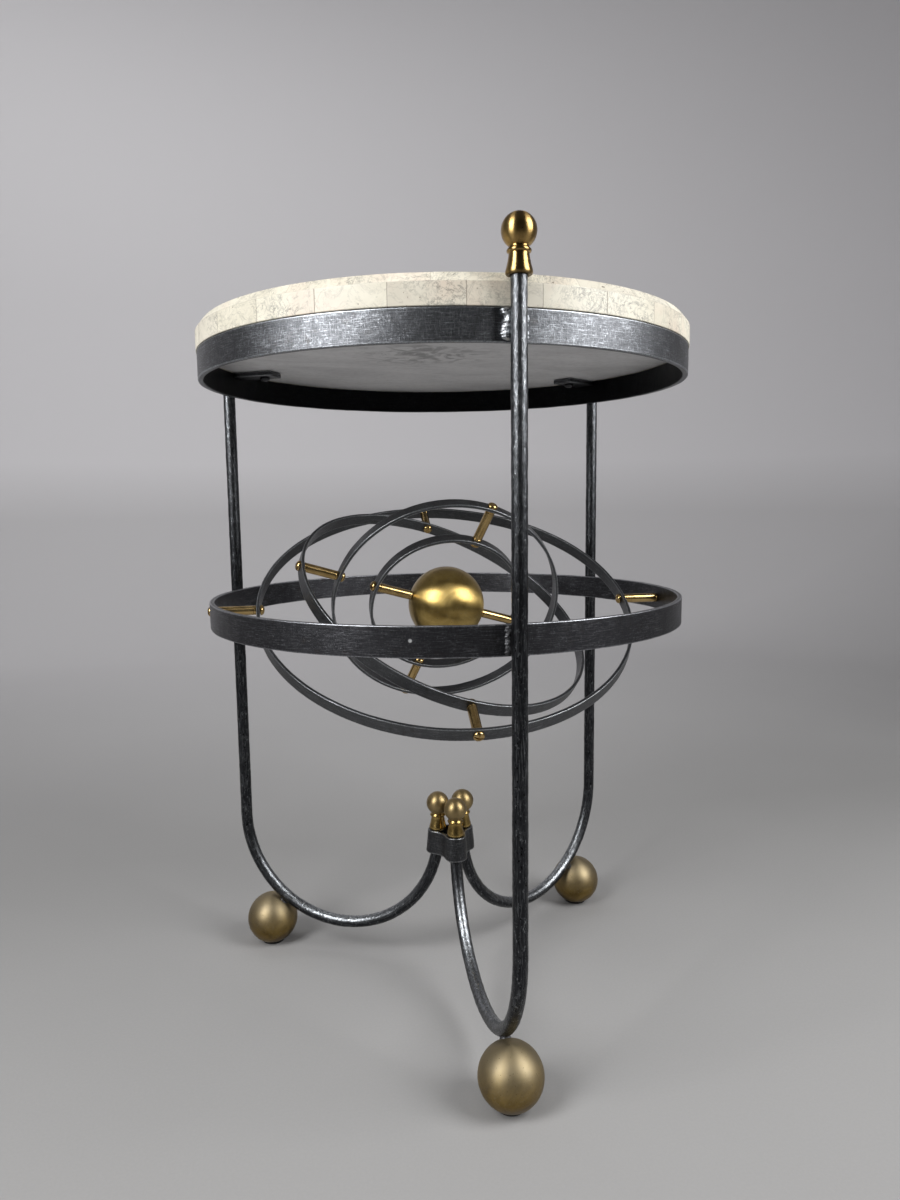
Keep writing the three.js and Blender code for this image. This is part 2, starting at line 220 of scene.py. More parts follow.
def skin(name, rows, along, across, loop_rows=False, marks=None):
    """A mesh over rows of points. Every row is a closed loop of the same count, or one point.

    `along` and `across` give the texture place of each row and column, in metres.
    `marks` holds named lists with one value for each row, or for each row and column.
    """
    columns = max(len(row) for row in rows)
    points = []
    index = []
    for row in rows:
        start = len(points)
        points += [point * MM for point in row]
        index.append([start] * columns if len(row) == 1 else list(range(start, start + columns)))
    faces = []
    places = []
    last = len(rows) if loop_rows else len(rows) - 1
    for i in range(last):
        a = index[i]
        b = index[(i + 1) % len(rows)]
        for j in range(columns):
            k = (j + 1) % columns
            corners = [(a[j], j, i), (a[k], j + 1, i), (b[k], j + 1, i + 1), (b[j], j, i + 1)]
            face = []
            for corner in corners:
                if corner[0] not in [c[0] for c in face]:
                    face.append(corner)
            if len(face) >= 3:
                faces.append([corner[0] for corner in face])
                places += [(across[corner[1]], along[corner[2]]) for corner in face]
    mesh = bpy.data.meshes.new(name)
    mesh.from_pydata(points, [], faces)
    layer = mesh.uv_layers.new(name="place")
    layer.data.foreach_set("uv", [value for place in places for value in place])
    for key, values in (marks or {}).items():
        add_mark(mesh, key, rows, values)
    return mesh


def lathe(name, outline, count, closed=False, marks=None):
    """A solid turned about Z from (radius, z) or (radius, z, edge) points."""
    rows = []
    along = [0.0]
    widest = max(point[0] for point in outline)
    for i, point in enumerate(outline):
        on_axis = point[0] < 1e-6
        rows.append([Vector((0, 0, point[1]))] if on_axis else circle(point[0], point[1], count))
        after = outline[(i + 1) % len(outline)]
        along.append(along[-1] + MM * hypot(after[0] - point[0], after[1] - point[1]))
    across = [MM * widest * 2 * pi * j / count for j in range(count + 1)]
    all_marks = {"edge": [point[2] if len(point) > 2 else 0.0 for point in outline]}
    all_marks.update(marks or {})
    return skin(name, rows, along, across, closed, all_marks)


def placed(mesh, matrix):
    """Moves a mesh by a matrix in millimetres."""
    metres = matrix.copy()
    metres.translation = matrix.translation * MM
    mesh.transform(metres)
    return mesh


def roughened(mesh, amount, size, seed=0.0):
    """Moves each vertex in or out by smooth noise, all in millimetres."""
    shift = Vector((seed * 3.1, seed * 1.7, seed * 2.3))
    moves = []
    for vertex in mesh.vertices:
        swell = noise.noise(vertex.co / (size * MM) + shift)
        moves.append(vertex.co + vertex.normal * (swell * amount * MM))
    for vertex, place in zip(mesh.vertices, moves):
        vertex.co = place
    mesh.update()
    return mesh


def shown(name, data):
    """A new object in the scene."""
    item = bpy.data.objects.new(name, data)
    SCENE.collection.objects.link(item)
    return item


def piece(name, mesh, material, body, slot, *nodes, sharp=38):
    """Shows a finished mesh as a piece that rides on a body and stands for CAD nodes."""
    mesh.materials.clear()
    mesh.materials.append(material)
    mesh.polygons.foreach_set("use_smooth", [True] * len(mesh.polygons))
    mesh.set_sharp_from_angle(angle=radians(sharp))
    mesh.update()
    item = shown(name, mesh)
    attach(item, body)
    if nodes:
        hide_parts(*nodes)
    return item


def cut(mesh, tools):
    """The mesh with each tool mesh taken away from it."""
    target = shown("cut_target", mesh)
    helpers = []
    for tool in tools:
        helper = shown("cut_tool", tool)
        modifier = target.modifiers.new("cut", "BOOLEAN")
        modifier.operation = "DIFFERENCE"
        modifier.solver = "EXACT"
        modifier.object = helper
        helpers.append(helper)
    bpy.context.view_layer.update()
    finished = target.evaluated_get(bpy.context.evaluated_depsgraph_get())
    result = bpy.data.meshes.new_from_object(finished)
    for item in [target, *helpers]:
        bpy.data.objects.remove(item)
    return result


def flat_radius(radius, sides):
    """Where the flats of a CAD hoop lie. Pivots are set out from there."""
    return radius * cos(pi / sides)


# ------------ material helpers


class Look:
    """A node material under construction."""

    def __init__(self, name):
        self.material = bpy.data.materials.new(name)
        self.material.use_nodes = True
        self.nodes = self.material.node_tree.nodes
        self.links = self.material.node_tree.links
        self.shader = next(n for n in self.nodes if n.type == "BSDF_PRINCIPLED")

    def add(self, kind, inputs=None, **settings):
        node = self.nodes.new("ShaderNode" + kind)
        for key, value in settings.items():
            setattr(node, key, value)
        for key, value in (inputs or {}).items():
            self.put(node.inputs[key], value)
        return node

    def put(self, socket, value):
        if isinstance(value, bpy.types.NodeSocket):
            self.links.new(value, socket)
        else:
            socket.default_value = value

    def place(self):
        """The row frame's own coordinates, in metres, which move with the piece."""
        return self.add("TexCoord").outputs["Object"]

    def uv(self):
        return self.add("UVMap", uv_map="place").outputs["UV"]

    def mark(self, name):
        return self.add("Attribute", attribute_name=name).outputs["Fac"]

    def split(self, vector):
        return self.add("SeparateXYZ", {"Vector": vector}).outputs

    def stretched(self, vector, scale):
        return self.add("Mapping", {"Vector": vector, "Scale": scale}).outputs["Vector"]

    def centred_place(self):
        """The same, with the table's axis at X = Y = 0."""
        moved = {"Vector": self.place(), "Location": (0, -AXIS_Y * MM, 0)}
        return self.add("Mapping", moved).outputs["Vector"]

    def noise(self, vector, scale, detail=4.0, roughness=0.55, distortion=0.0):
        node = self.add("TexNoise", {"Vector": vector, "Scale": scale, "Detail": detail})
        node.inputs["Roughness"].default_value = roughness
        node.inputs["Distortion"].default_value = distortion
        return node.outputs["Fac"]

    def math(self, operation, a, b=0.0, clamp=False):
        node = self.add("Math", operation=operation, use_clamp=clamp)
        self.put(node.inputs[0], a)
        self.put(node.inputs[1], b)
        return node.outputs[0]

    def plus(self, a, b, clamp=False):
        return self.math("ADD", a, b, clamp)

    def minus(self, a, b):
        return self.math("SUBTRACT", a, b)

    def times(self, a, b):
        return self.math("MULTIPLY", a, b)

    def most(self, a, b):
        return self.math("MAXIMUM", a, b)

    def gap(self, a, b):
        """How far one value is from another."""
        return self.math("ABSOLUTE", self.minus(a, b))

    def from_whole(self, value):
        """How far a number is from the nearest whole one."""
        return self.minus(0.5, self.gap(self.math("FRACT", value), 0.5))

    def distance(self, vector, point):
        node = self.add("VectorMath", {0: vector, 1: point}, operation="DISTANCE")
        return node.outputs["Value"]

    def span(self, value, low, high, to_low=0.0, to_high=1.0):
        """Maps low..high onto to_low..to_high and holds it there."""
        node = self.add(
            "MapRange",
            {"Value": value, "From Min": low, "From Max": high, "To Min": to_low, "To Max": to_high},
        )
        return node.outputs["Result"]

    def blend(self, amount, a, b):
        """Mixes two colours, by the sockets that the mix node keeps for colours."""
        node = self.add("Mix", data_type="RGBA")
        self.put(node.inputs[0], amount)
        for socket, value in ((node.inputs[6], a), (node.inputs[7], b)):
            self.put(socket, value if isinstance(value, bpy.types.NodeSocket) else (*value, 1.0))
        return node.outputs[2]

    def choose(self, amount, a, b):
        """Mixes two numbers."""
        node = self.add("Mix", {0: amount, 2: a, 3: b}, data_type="FLOAT")
        return node.outputs[0]

    def bump(self, height, distance, strength):
        shape = {"Height": height, "Distance": distance, "Strength": strength}
        return self.add("Bump", shape).outputs["Normal"]

    def finish(self, colour, roughness, normal, metallic=0.0, **fixed):
        self.put(self.shader.inputs["Base Color"], colour)
        self.put(self.shader.inputs["Roughness"], roughness)
        self.put(self.shader.inputs["Normal"], normal)
        self.shader.inputs["Metallic"].default_value = metallic
        for key, value in fixed.items():
            self.shader.inputs[key.replace("_", " ")].default_value = value
        return self.material


# ------------ materials


def flat_bar_look(name, dark, light, wear, cross_share, painted_inside_shade, chip=None):
    """Burnished flat bar: broken scratches both ways, bright speckle, edges lighter from rubbing with a
    painted highlight, and painted shade on the insides.

    `chip` is a place in metres where a fleck of bare metal shows.
    """
    look = Look(name)
    uv = look.uv()
    place = look.place()
    lengthwise = look.noise(look.stretched(uv, (80, 1300, 1)), 1.0, 5, 0.7, 0.6)
    crosswise = look.noise(look.stretched(uv, (1500, 130, 1)), 1.0, 5, 0.7, 0.6)
    speckle = look.noise(place, 620, 4, 0.75)
    patches = look.noise(place, 42, 6, 0.68, 0.8)
    cross = look.times(look.span(crosswise, 0.5, 0.72), cross_share)
    scratch = look.most(look.span(lengthwise, 0.48, 0.72), cross)
    scratch = look.times(scratch, look.span(speckle, 0.34, 0.6, 0.25, 1.0))
    wear_and_painted_highlight = look.times(scratch, look.span(patches, 0.36, 0.64, 0.15, 1.0))
    wear_and_painted_highlight = look.plus(wear_and_painted_highlight, look.span(speckle, 0.6, 0.74, 0.0, 0.6))
    # Painted highlight along the rounded edges, on top of the rubbing that lightens them.
    edge = look.times(look.mark("edge"), look.span(speckle, 0.34, 0.56, 0.3, 1.0))
    wear_and_painted_highlight = look.plus(look.times(wear_and_painted_highlight, wear), look.times(edge, 0.55), True)
    colour = look.blend(wear_and_painted_highlight, dark, light)
    rust = look.span(look.noise(place, 75, 5, 0.7), 0.58, 0.74, 0.0, 0.55)
    colour = look.blend(rust, colour, (0.042, 0.033, 0.026))
    # Painted shade: the bar's inner faces are darkened towards near black (0.006), where shade falls.
    painted_shade_inside = look.mark("painted_shade_inside")
    colour = look.blend(look.times(painted_shade_inside, painted_inside_shade), colour, (0.006, 0.006, 0.007))
    if chip:
        near = look.span(look.distance(place, chip), 0.0011, 0.0018, 1.0, 0.0)
        colour = look.blend(near, colour, (0.75, 0.76, 0.77))
    roughness = look.span(wear_and_painted_highlight, 0.0, 1.0, 0.38, 0.29)
    height = look.plus(look.times(lengthwise, 0.5), look.times(crosswise, 0.6))
    height = look.plus(height, look.times(patches, 1.6))
    height = look.plus(height, look.times(speckle, 0.5))
    return look.finish(colour, roughness, look.bump(height, 0.00025, 0.8), 1.0)


def round_bar_look():
    """Drawn round bar, lightly hammered: lengthwise grain, small bright flecks, lighter on the upward faces
    of the bends, and a painted highlight on the upper rods.
    """
    look = Look("hammered_round_bar")
    uv = look.uv()
    place = look.place()
    grain = look.noise(look.stretched(uv, (900, 60, 1)), 1.0, 5, 0.68, 0.4)
    dents = look.noise(look.stretched(place, (1, 1, 0.5)), 420, 3, 0.6)
    flecks = look.noise(look.stretched(place, (1, 1, 0.45)), 900, 3, 0.75)
    patches = look.noise(place, 30, 5, 0.62)
    bright = look.times(look.span(grain, 0.5, 0.75), look.span(patches, 0.35, 0.7, 0.15, 0.6))
    chips = look.times(look.span(dents, 0.54, 0.68), look.span(flecks, 0.48, 0.62, 0.0, 0.55))
    bright = look.plus(bright, chips)
    # Lighter where the mark is set: the upward faces of the bends, and a painted highlight on the upper
    # rods.
    wear_and_painted_light = look.times(look.mark("wear_and_painted_highlight"), look.span(dents, 0.35, 0.62, 0.3, 0.85))
    bright = look.plus(bright, wear_and_painted_light, True)
    colour = look.blend(bright, (0.026, 0.027, 0.030), (0.40, 0.42, 0.44))
    hollows = look.noise(look.stretched(place, (1, 1, 0.5)), 520, 2, 0.5)
    pits = look.times(look.span(hollows, 0.62, 0.68), look.mark("pitted"))
    colour = look.blend(pits, colour, (0.004, 0.004, 0.004))
    roughness = look.span(bright, 0.0, 1.0, 0.34, 0.24)
    height = look.minus(dents, look.times(pits, 0.6))
    height = look.plus(height, look.times(grain, 0.35))
    height = look.plus(height, look.times(flecks, 0.5))
    return look.finish(colour, roughness, look.bump(height, 0.00045, 0.75), 1.0)


def weld_look(name, metal, soot_colour, soot_low, roughness):
    """Weld metal with soot left in its hollows."""
    look = Look(name)
    place = look.place()
    grain = look.noise(look.stretched(place, (1, 1, 0.6)), 700, 5, 0.72)
    soot = look.noise(place, 260, 4, 0.7)
    colour = look.blend(look.span(soot, soot_low, soot_low + 0.12), metal, soot_colour)
    rough = look.span(grain, 0.3, 0.7, roughness, roughness + 0.24)
    return look.finish(colour, rough, look.bump(grain, 0.0006, 0.8), 1.0)


def brass_look(name, pale, deep, dull_and_painted_light, roughness, dull_strength, turning_depth, turned_sheen):
    """Turned brass with a patina in soft patches, fine turning marks and tiny pits. A mark blends in a
    duller colour, partly as painted reflection and painted shade.

    `turned_sheen` draws highlights out across the turning marks.
    """
    look = Look(name)
    place = look.place()
    cloud = look.noise(place, 42, 5, 0.62, 0.6)
    fine = look.noise(place, 380, 3, 0.7)
    turning = look.noise(look.stretched(look.uv(), (35, 1800, 1)), 1.0, 4, 0.6)
    # The mark dulls the colour. On the feet's tops it is a painted reflection, at the sleeves' ends painted
    # shade. On the hub finials' balls and the top finials' lips it gives a duller, darker tone.
    wear_and_painted_light = look.times(look.mark("dull_and_painted_light"), dull_strength)
    colour = look.blend(look.span(cloud, 0.36, 0.66), deep, pale)
    colour = look.blend(look.span(fine, 0.55, 0.75, 0.0, 0.35), colour, dull_and_painted_light)
    colour = look.blend(wear_and_painted_light, colour, dull_and_painted_light)
    pits = look.span(look.noise(place, 620, 2, 0.5), 0.7, 0.76)
    colour = look.blend(pits, colour, (0.05, 0.035, 0.018))
    uneven = look.plus(cloud, look.times(fine, 0.5))
    rough = look.span(uneven, 0.4, 1.0, roughness, roughness + 0.12)
    rough = look.plus(rough, look.times(wear_and_painted_light, 0.22))
    height = look.minus(look.times(turning, 0.5), look.times(pits, 1.2))
    tangent = look.add("Tangent", direction_type="UV_MAP", uv_map="place").outputs["Tangent"]
    look.put(look.shader.inputs["Tangent"], tangent)
    normal = look.bump(height, turning_depth, 0.8)
    return look.finish(colour, rough, normal, 1.0, Anisotropic=turned_sheen, Anisotropic_Rotation=0.25)


def stone_border(look, angle, radius, on_side):
    """(line of the joints, block number) of the border. The bevel's joints are staggered."""
    block_angle = 2 * pi / BLOCKS
    turns = look.math("DIVIDE", look.minus(angle, radians(SEAM_AZIMUTH)), block_angle)
    tile = look.plus(turns, look.minus(BLOCKS + BEVEL_STAGGER, look.times(on_side, BEVEL_STAGGER)))
    to_joint = look.times(look.from_whole(tile), look.times(radius, block_angle))
    line = look.times(look.span(to_joint, *JOINT_LINE, 1.0, 0.0), look.plus(look.times(on_side, 0.5), 0.5))
    number = look.math("MODULO", look.math("FLOOR", tile), float(BLOCKS))
    return line, look.plus(number, look.times(on_side, 37.0))


def stone_field(look, x, y):
    """(line of the joints, block number) of the squared field in the middle of the top."""
    cells = []
    to_joint = []
    for value in (x, y):
        cell = look.math("DIVIDE", look.plus(value, 4.5 * FIELD_BLOCK), FIELD_BLOCK)
        cells.append(look.math("FLOOR", cell))
        to_joint.append(look.times(look.from_whole(cell), FIELD_BLOCK))
    line = look.span(look.math("MINIMUM", *to_joint), *JOINT_LINE, 1.0, 0.0)
    return line, look.plus(look.plus(cells[0], look.times(cells[1], 11.0)), 91.0)


def stone_layout(look, place):
    """(line of all the joints, block number) anywhere on the veneer."""
    x, y, z = look.split(place)
    radius = look.math("SQRT", look.plus(look.times(x, x), look.times(y, y)))
    bevel_z = (STONE_TOP_Z - STONE_BEVEL_HEIGHT) * MM
    on_side = look.math("LESS_THAN", z, bevel_z)
    in_field = look.math("LESS_THAN", radius, FIELD_R)
    border_line, border_block = stone_border(look, look.math("ARCTAN2", y, x), radius, on_side)
    field_line, field_block = stone_field(look, x, y)
    round_field = look.span(look.gap(radius, FIELD_R), 0.0001, 0.0004, 1.0, 0.0)
    along_bevel = look.span(look.gap(z, bevel_z), 0.0, 0.00035, 0.4, 0.0)
    line = look.most(look.choose(in_field, border_line, field_line), round_field)
    return look.most(line, along_bevel), look.choose(in_field, border_block, field_block)


def stone_veins(look, place):
    """Thin curling veins, dense in patches and broken along their length."""
    broad = look.gap(look.noise(place, 34, 6, 0.66, 1.8), 0.5)
    fine = look.gap(look.noise(place, 110, 4, 0.65, 1.4), 0.5)
    patches = look.span(look.noise(place, 19, 4, 0.65), 0.4, 0.55)
    broken = look.span(look.noise(place, 230, 3, 0.6), 0.36, 0.58, 0.4, 1.0)
    broad = look.times(look.span(broad, 0.0, 0.022, 1.0, 0.0), look.span(patches, 0.0, 1.0, 0.35, 1.0))
    fine = look.times(look.span(fine, 0.0, 0.04, 0.8, 0.0), patches)
    return look.times(look.most(broad, fine), broken)


def stone_look():
    """Cream stone pieces with fine dark veins, laid as a border of blocks round a squared field."""
    look = Look("stone_veneer")
    place = look.centred_place()
    joints, block = stone_layout(look, place)
    tint = look.add("TexWhiteNoise", {"W": block}, noise_dimensions="1D")
    shift = {0: tint.outputs["Color"], 1: (0.8, 0.8, 0.8), 2: place}
    local = look.add("VectorMath", shift, operation="MULTIPLY_ADD").outputs["Vector"]
    cloud = look.noise(local, 24, 6, 0.62, 0.8)
    greyer = look.span(tint.outputs["Value"], 0.45, 1.0, 0.0, 0.6)
    rosy = look.span(look.noise(local, 15, 4, 0.6), 0.52, 0.66, 0.0, 0.5)
    veins = stone_veins(look, local)
    pits = look.span(look.noise(local, 260, 2, 0.5), 0.71, 0.75)
    colour = look.blend(look.span(cloud, 0.35, 0.7), (0.53, 0.497, 0.405), (0.65, 0.617, 0.515))
    colour = look.blend(greyer, colour, (0.47, 0.435, 0.37))
    colour = look.blend(rosy, colour, (0.53, 0.43, 0.35))
    colour = look.blend(look.times(veins, 0.9), colour, (0.13, 0.13, 0.118))
    colour = look.blend(pits, colour, (0.12, 0.10, 0.075))
    colour = look.blend(look.times(joints, 0.8), colour, (0.13, 0.105, 0.08))
    roughness = look.span(cloud, 0.3, 0.7, 0.38, 0.52)
    height = look.minus(1.0, look.plus(look.times(veins, 0.35), pits))
    height = look.minus(height, joints)
    return look.finish(colour, roughness, look.bump(height, 0.0002, 0.6))


def underside_look():
    """Smooth grey paint, uneven, with a darker cloudy stain near the middle."""
    look = Look("grey_underside")
    place = look.centred_place()
    streaks = look.noise(look.stretched(place, (1, 2.2, 1)), 9, 5, 0.6, 0.8)
    fine = look.noise(place, 160, 4, 0.6)
    colour = look.blend(look.span(streaks, 0.35, 0.68), (0.57, 0.565, 0.565), (0.75, 0.745, 0.745))
    colour = look.blend(look.span(fine, 0.5, 0.75, 0.0, 0.2), colour, (0.30, 0.295, 0.29))
    near = look.span(look.distance(place, STAIN), 0.03, 0.08, 1.0, 0.0)
    smudge = look.span(look.noise(place, 38, 5, 0.62, 1.2), 0.47, 0.6, 0.0, 0.7)
    colour = look.blend(look.times(near, smudge), colour, (0.10, 0.098, 0.098))
    roughness = look.span(fine, 0.3, 0.7, 0.32, 0.46)
    return look.finish(colour, roughness, look.bump(look.plus(streaks, fine), 0.0002, 0.35))


def rubber_look():
    look = Look("black_rubber")
    place = look.place()
    grain = look.noise(place, 1500, 3, 0.6)
    dust = look.noise(place, 90, 4, 0.6)
    colour = look.blend(look.span(dust, 0.45, 0.75), (0.012, 0.012, 0.012), (0.035, 0.034, 0.033))
    roughness = look.span(grain, 0.3, 0.7, 0.7, 0.95)
    return look.finish(colour, roughness, look.bump(grain, 0.0001, 0.7))


def floor_look():
    """Pale grey paper, with painted light that makes it paler where it curves up behind the table, and
    painted shade that makes it dark on the viewer's side.
    """
    look = Look("pale_floor")
    place = look.place()
    cloud = look.noise(place, 1.1, 3, 0.5)
    tooth = look.noise(place, 400, 2, 0.5)
    _, y, z = look.split(place)
    # Painted light: the paper is made paler up the curve behind the table and far off.
    upward = look.span(z, 0.0, 0.7)
    far = look.span(y, 0.4, 2.0, 0.0, 0.65)
    rise = look.most(upward, far)
    # Painted shade: the wall on the viewer's side is made dark.
    painted_shade_side = look.span(y, -2.2, -1.2, 1.0, 0.0)
    near = look.times(painted_shade_side, look.span(upward, 0.0, 0.2))
    colour = look.blend(look.span(cloud, 0.3, 0.7), (0.225, 0.222, 0.220), (0.250, 0.247, 0.245))
    colour = look.blend(rise, colour, (0.57, 0.56, 0.575))
    colour = look.blend(near, colour, (0.08, 0.08, 0.08))
    roughness = look.span(tooth, 0.3, 0.7, 0.75, 0.9)
    return look.finish(colour, roughness, look.bump(tooth, 0.0002, 0.3))


TOP_RING_IRON = flat_bar_look(
    "burnished_top_ring", (0.066, 0.068, 0.073), (0.58, 0.61, 0.65), 0.8, 0.9, 0.93
)
MIDDLE_RING_IRON = flat_bar_look(
    "burnished_middle_ring", (0.048, 0.048, 0.053), (0.42, 0.43, 0.46), 0.75, 0.35, 0.0, CHIP
)
HOOP_IRON = flat_bar_look(
    "burnished_hoop_bar", (0.085, 0.087, 0.092), (0.44, 0.46, 0.48), 0.5, 0.4, 0.0
)
COLLAR_IRON = flat_bar_look(
    "forged_collar", (0.040, 0.041, 0.044), (0.34, 0.35, 0.36), 0.6, 1.0, 0.8
)
ROUND_IRON = round_bar_look()
WELD = weld_look("weld_bead", (0.60, 0.63, 0.66), (0.09, 0.09, 0.095), 0.46, 0.26)
DARK_WELD = weld_look("dark_weld_bead", (0.14, 0.142, 0.15), (0.06, 0.06, 0.063), 0.42, 0.42)
GLOBE_BRASS = brass_look(
    "globe_brass", (0.52, 0.375, 0.13), (0.31, 0.21, 0.065), (0.27, 0.235, 0.165),
    roughness=0.27, dull_strength=0.5, turning_depth=0.00005, turned_sheen=0.75,
)
FOOT_BRASS = brass_look(
    "foot_brass", (0.265, 0.18, 0.055), (0.125, 0.081, 0.028), (0.30, 0.255, 0.17),
    roughness=0.31, dull_strength=0.75, turning_depth=0.00006, turned_sheen=0.3,
)
FINIAL_BRASS = brass_look(
    "finial_brass", (0.36, 0.25, 0.095), (0.22, 0.135, 0.048), (0.10, 0.07, 0.035),
    roughness=0.22, dull_strength=0.7, turning_depth=0.00003, turned_sheen=0.85,
)
HUB_BRASS = brass_look(
    "hub_finial_brass", (0.42, 0.30, 0.11), (0.29, 0.19, 0.06), (0.27, 0.205, 0.105),
    roughness=0.17, dull_strength=0.85, turning_depth=0.00002, turned_sheen=0.4,
)
PIVOT_BRASS = brass_look(
    "polished_brass", (0.52, 0.37, 0.165), (0.38, 0.255, 0.10), (0.12, 0.08, 0.04),
    roughness=0.15, dull_strength=0.8, turning_depth=0.000012, turned_sheen=0.4,
)
STONE = stone_look()
UNDERSIDE = underside_look()
RUBBER = rubber_look()
FLOOR = floor_look()


# ------------ the tabletop


def stone_mesh():
    bottom = STONE_BOTTOM_Z
    corners = [
        (0, STONE_TOP_Z - VENEER, 0),
        (STONE_R - VENEER, STONE_TOP_Z - VENEER, 0),
        (STONE_R - VENEER, bottom, 0),
        (STONE_R, bottom, 0.8),
        (STONE_R, STONE_TOP_Z - STONE_BEVEL_HEIGHT, 0.9),
        (STONE_R - STONE_BEVEL_WIDTH, STONE_TOP_Z, 2.4),
        (0, STONE_TOP_Z, 0),
    ]
    mesh = lathe("stone_top", rounded(corners, closed=False, steps=4, longest=12), 360)
    return roughened(mesh, 0.12, 35, 1)


def core_mesh():
    radius = STONE_R - VENEER - GAP
    top = STONE_TOP_Z - VENEER - GAP
    corners = [(0, STONE_BOTTOM_Z, 0), (radius, STONE_BOTTOM_Z, 0.8), (radius, top, 0.8), (0, top, 0)]
    mesh = lathe("core_board", rounded(corners, closed=False, longest=9), 240)
    return roughened(mesh, 0.12, 30, 2)


def drill_mesh(azimuth, start, end):
    """The tool for a pivot hole that runs out from Z."""
    outline = [(0, start), (HOLE_R, start), (HOLE_R, end), (0, end)]
    return placed(lathe("drill", outline, 32), turned("Z", azimuth) @ turned("Y", 90))


def ring_mesh(name, outer, wall, height, count, seed, holes=(), wobble=0.25):
    """A flat bar hoop about Z, a little uneven, drilled for its pivots."""
    half = height / 2
    edge_r = 0.8 if wall > 4 else 0.55
    corners = [(outer, -half), (outer, half), (outer - wall, half), (outer - wall, -half)]
    corners = [(*corner, edge_r) for corner in corners]
    outline = rounded(corners, steps=3, longest=3.2)
    # Marks the inner faces, which get painted shade.
    painted_shade_inside = [1.0 if point[0] < outer - 0.8 * wall else 0.0 for point in outline]
    mesh = lathe(name, outline, count, True, {"painted_shade_inside": painted_shade_inside})
    roughened(mesh, wobble, 24, seed)
    roughened(mesh, 0.07, 5, seed + 0.5)
    drills = [drill_mesh(azimuth, outer - 3 * wall, outer + wall) for azimuth in holes]
    return cut(mesh, drills) if drills else mesh


piece("stone_veneer", placed(stone_mesh(), AXIS), STONE, "frame", "stone", "stone_top", sharp=50)
piece("core_underside", placed(core_mesh(), AXIS), UNDERSIDE, "frame", "board", "core_board")

top_ring = ring_mesh("top_ring", TOP_RING_R, TOP_RING_WALL, RING_HEIGHT, 360, 3)
placed(top_ring, AXIS @ Matrix.Translation((0, 0, TOP_RING_UPPER_Z - RING_HEIGHT / 2)))
piece("top_ring_bar", top_ring, TOP_RING_IRON, "frame", "iron", "top_ring")


# ------------ the legs


def leg_layout(azimuth):
    """Where a leg runs: its rod, its lobe of the hub, its bend and its foot."""
    rod = polar(ROD_CIRCLE_R, azimuth)
    lobe = polar(HUB_CIRCLE_R, azimuth) + Vector((HUB_X, 0, 0))
    span = rod - lobe
    bend_r = span.length / 2
    bend_z = BEND_LOWEST_Z + bend_r
    reach = bend_r + ROD_R + GAP + FOOT_R
    foot_x = bend_r + sqrt(reach ** 2 - (bend_z - FOOT_R) ** 2)
    heading = degrees(atan2(span.y, span.x))
    return {
        "rod": rod,
        "lobe": lobe,
        "bend_r": bend_r,
        "bend_z": bend_z,
        "heading": heading,
        "foot": lobe + polar(foot_x, heading),
    }


def leg_path(layout, spacing=2.6):
    """(point, direction, share of the bend) along the bar's centre line, X = 0 on the hub's lobe."""
    bend_r = layout["bend_r"]
    bend_z = layout["bend_z"]
    top = ROD_TOP_Z + FINIAL_SOCKET_DEPTH - GAP
    hub_top = COLLAR_TOP_Z + FINIAL_SOCKET_DEPTH
    path = []
    steps = round((top - bend_z) / spacing)
    for i in range(steps):
        z = top - (top - bend_z) * i / steps
        path.append((Vector((2 * bend_r, 0, z)), Vector((0, 0, -1)), 0.0))
    steps = round(pi * bend_r / spacing)
    for i in range(steps):
        angle = pi * i / steps
        point = Vector((bend_r * (1 + cos(angle)), 0, bend_z - bend_r * sin(angle)))
        path.append((point, Vector((-sin(angle), 0, -cos(angle))), sin(angle)))
    steps = max(2, round((hub_top - bend_z) / spacing))
    for i in range(steps + 1):
        path.append((Vector((0, 0, bend_z + (hub_top - bend_z) * i / steps)), Vector((0, 0, 1)), 0.0))
    return path


def leg_mesh(name, layout, seed):
    """The hammered bar, with each end rounded over."""
    count = 28
    path = leg_path(layout)
    rows = []
    wear_and_painted_highlight = []
    pitted = []
    along = [0.0]
    side = Vector((0, 1, 0))
    for i, (point, direction, bend) in enumerate(path):
        out = side.cross(direction).normalized()
        ends = min(i, len(path) - 1 - i)
        radius = ROD_R * (0.86 if ends == 0 else 1.0)
        # Painted highlight: the rods are made lighter from 440 mm up. The upward faces of the bends are made
        # lighter too.
        upper_painted_highlight = ramp(point.z, 440, 580)
        row = []
        row_wear_and_highlight = []
        for j in range(count):
            angle = 2 * pi * j / count
            normal = out * cos(angle) + side * sin(angle)
            row.append(point + normal * radius)
            row_wear_and_highlight.append(max(0.0, normal.z) * min(1.0, 1.6 * bend) + 0.25 * upper_painted_highlight)
        rows.append(row)
        wear_and_painted_highlight.append(row_wear_and_highlight)
        low_on_rod = point.z < 420 and bend < 0.5 and point.x > layout["bend_r"]
        pitted.append(1.0 if low_on_rod else 0.25)
        after = path[min(i + 1, len(path) - 1)][0]
        along.append(along[-1] + MM * (after - point).length)
    rows = [[path[0][0]], *rows, [path[-1][0]]]
    marks = {"wear_and_painted_highlight": [0.0, *wear_and_painted_highlight, 0.0], "pitted": [0.0, *pitted, 0.0]}
    across = [MM * 2 * pi * ROD_R * j / count for j in range(count + 1)]
    mesh = skin(name, rows, [0.0, *along], across, False, marks)
    placed(mesh, AXIS @ Matrix.Translation(layout["lobe"]) @ turned("Z", layout["heading"]))
    roughened(mesh, 0.22, 5.5, seed)
    return roughened(mesh, 0.16, 30, seed + 2)


